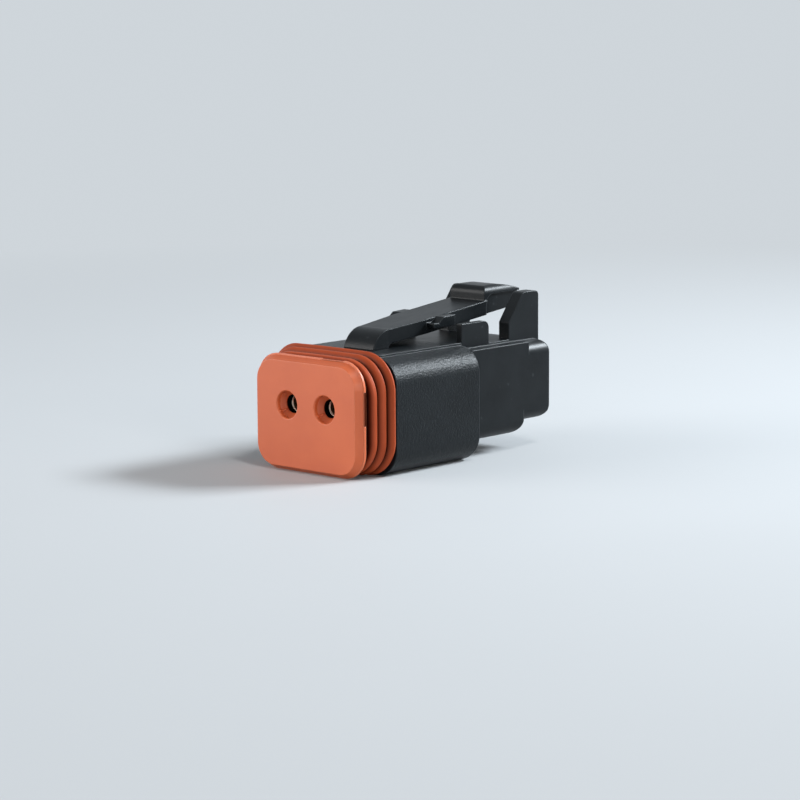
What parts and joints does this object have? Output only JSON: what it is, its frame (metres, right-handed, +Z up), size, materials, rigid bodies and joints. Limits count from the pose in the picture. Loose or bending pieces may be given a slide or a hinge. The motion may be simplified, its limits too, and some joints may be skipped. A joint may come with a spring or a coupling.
{
  "type": "sealed two-way plug connector",
  "caption": "Sealed plug connector with a lever latch, a bevelled orange secondary lock in its mating face, a ribbed ring seal and socket contacts.",
  "frame": {"origin": "bottom centre of the whole connector, on the plane it rests on", "axes": "+Z up, +Y towards the wire end along the contact axes, +X across the connector"},
  "size_m": [0.0198, 0.0348, 0.0195],
  "materials": {
    "black_textured": "fine spark-eroded texture",
    "black_smooth": "smooth satin",
    "orange_plastic": "smooth satin",
    "seal_silicone": "soft satin",
    "contact_alloy": "plated",
    "sleeve_steel": "drawn"
  },
  "bodies": {
    "plug_body": {"housing": "black_textured", "rear_shell": "black_smooth", "interface_seal": "seal_silicone", "rear_seal": "seal_silicone", "contact_left": "contact_alloy", "contact_right": "contact_alloy", "contact_hood_left": "sleeve_steel", "contact_hood_right": "sleeve_steel"},
    "latch": {"latch_arm": "black_smooth"},
    "lock": {"wedge_lock": "orange_plastic"}
  },
  "joints": [
    {"name": "latch_press", "type": "hinge", "parent": "plug_body", "child": "latch", "pos_m": [0, -0.00585, 0.0136], "axis": [-1, 0, 0], "range_deg": [0, 6], "stiffness_Nm_per_rad": 0.02},
    {"name": "lock_slide", "type": "slide", "parent": "plug_body", "child": "lock", "axis": [0, -1, 0], "range_m": [0, 0.013]}
  ]
}
